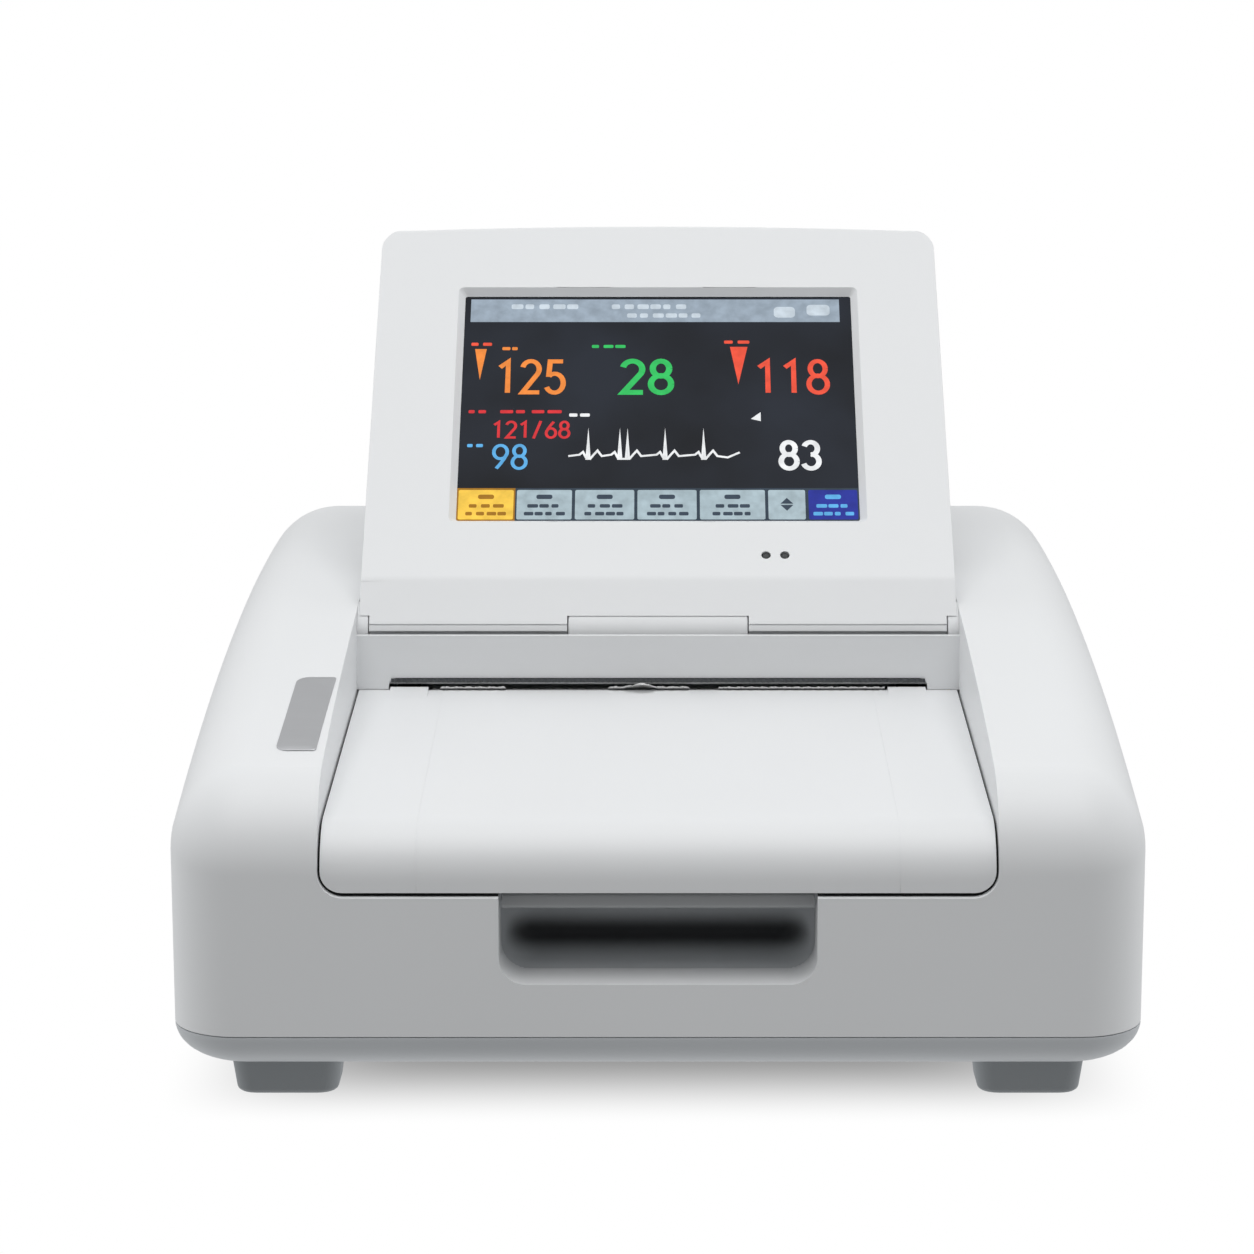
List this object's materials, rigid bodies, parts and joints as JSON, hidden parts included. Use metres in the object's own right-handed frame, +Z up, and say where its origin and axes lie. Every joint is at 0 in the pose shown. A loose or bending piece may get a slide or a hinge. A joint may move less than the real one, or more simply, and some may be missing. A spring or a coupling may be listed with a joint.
{
  "type": "cardiotocograph",
  "caption": "Table-top fetal heart-rate and contraction monitor with a tilting touch display, a sliding paper drawer and a built-in strip printer.",
  "frame": {"origin": "on the table, under the middle of the housing's box", "axes": "+Z up, -Y towards the front with the drawer and the display's face, +X to the right seen from the front"},
  "size_m": [0.286, 0.335, 0.2358],
  "materials": {
    "white_plastic": "fine moulded grain, off-white",
    "grey_plastic": "fine moulded grain, light grey",
    "foot_rubber": "matt grey rubber",
    "dark_plastic": "matt near-black",
    "red_plastic": "satin red",
    "black_rubber": "matt black rubber",
    "paper": "uncoated thermal paper",
    "board_green": "solder mask",
    "screen_glass": "smooth, lit from behind",
    "gear_plastic": "smooth cream",
    "steel": "turned",
    "aluminium": "satin",
    "brass": "turned"
  },
  "bodies": {
    "base": {"upper_housing": "white_plastic", "base_tray": "grey_plastic", "foot_left_front": "foot_rubber", "foot_left_rear": "foot_rubber", "foot_right_front": "foot_rubber", "foot_right_rear": "foot_rubber", "base_screw_left_front": "steel", "base_screw_left_rear": "steel", "base_screw_right_front": "steel", "base_screw_right_rear": "steel", "chassis_plate": "aluminium", "main_board": "board_green", "power_supply": "aluminium", "loudspeaker": "dark_plastic", "connector_panel": "grey_plastic", "transducer_socket_1": "dark_plastic", "transducer_socket_2": "red_plastic", "transducer_socket_3": "dark_plastic", "transducer_socket_4": "red_plastic", "rear_panel": "grey_plastic", "mains_inlet": "dark_plastic", "earth_stud": "brass", "rear_screw_left_low": "steel", "rear_screw_left_high": "steel", "rear_screw_right_low": "steel", "rear_screw_right_high": "steel", "interface_socket_1": "dark_plastic", "interface_socket_2": "dark_plastic", "guide_rail_left": "dark_plastic", "guide_rail_right": "dark_plastic", "print_head": "aluminium", "tear_edge": "dark_plastic", "stepper_motor": "dark_plastic", "drive_gear_axle": "steel", "hinge_block": "white_plastic", "hinge_pin_left": "steel", "hinge_pin_right": "steel"},
    "display": {"display_bezel": "white_plastic", "display_back_cover": "white_plastic", "touch_glass": "screen_glass", "lcd_panel": "dark_plastic", "display_board": "board_green", "status_led_left": "dark_plastic", "status_led_right": "dark_plastic"},
    "drawer": {"drawer_cover": "white_plastic", "drawer_tray": "grey_plastic", "lever_pin": "steel", "platen_bush_left": "brass", "platen_bush_right": "brass", "paper_pack": "paper", "paper_web": "paper"},
    "lever": {"drawer_release_lever": "grey_plastic"},
    "platen": {"platen_roller": "black_rubber", "platen_shaft": "steel", "platen_gear": "gear_plastic"},
    "drive_wheel": {"drive_gear": "gear_plastic"},
    "pinion": {"motor_pinion": "brass"},
    "display_latch": {"display_latch_button": "grey_plastic"}
  },
  "joints": [
    {"name": "display_tilt", "type": "hinge", "parent": "base", "child": "display", "pos_m": [0, -0.0095, 0.1128], "axis": [1, 0, 0], "range_deg": [-39.5, 18]},
    {"name": "drawer_slide", "type": "slide", "parent": "base", "child": "drawer", "axis": [0, -1, 0], "range_m": [0, 0.115]},
    {"name": "release_lever", "type": "hinge", "parent": "drawer", "child": "lever", "pos_m": [0, -0.1577, 0.065], "axis": [-1, 0, 0], "range_deg": [0, 12], "stiffness_Nm_per_rad": 0.05, "springref_deg": -5.73},
    {"name": "platen_spin", "type": "hinge", "parent": "drawer", "child": "platen", "pos_m": [0, -0.0175, 0.086], "axis": [1, 0, 0], "continuous": true},
    {"name": "drive_gear_spin", "type": "hinge", "parent": "base", "child": "drive_wheel", "pos_m": [0, -0.0013, 0.086], "axis": [1, 0, 0], "continuous": true},
    {"name": "motor_pinion_spin", "type": "hinge", "parent": "base", "child": "pinion", "pos_m": [0, 0.0139, 0.086], "axis": [1, 0, 0], "continuous": true},
    {"name": "display_latch_press", "type": "slide", "parent": "base", "child": "display_latch", "axis": [0, 0, -1], "range_m": [0, 0.003], "stiffness_N_per_m": 300, "springref_m": -0.001}
  ],
  "couplings": [
    {"joint": "drive_gear_spin", "follows": "platen_spin", "ratio": -1},
    {"joint": "motor_pinion_spin", "follows": "platen_spin", "ratio": 1.1429}
  ]
}
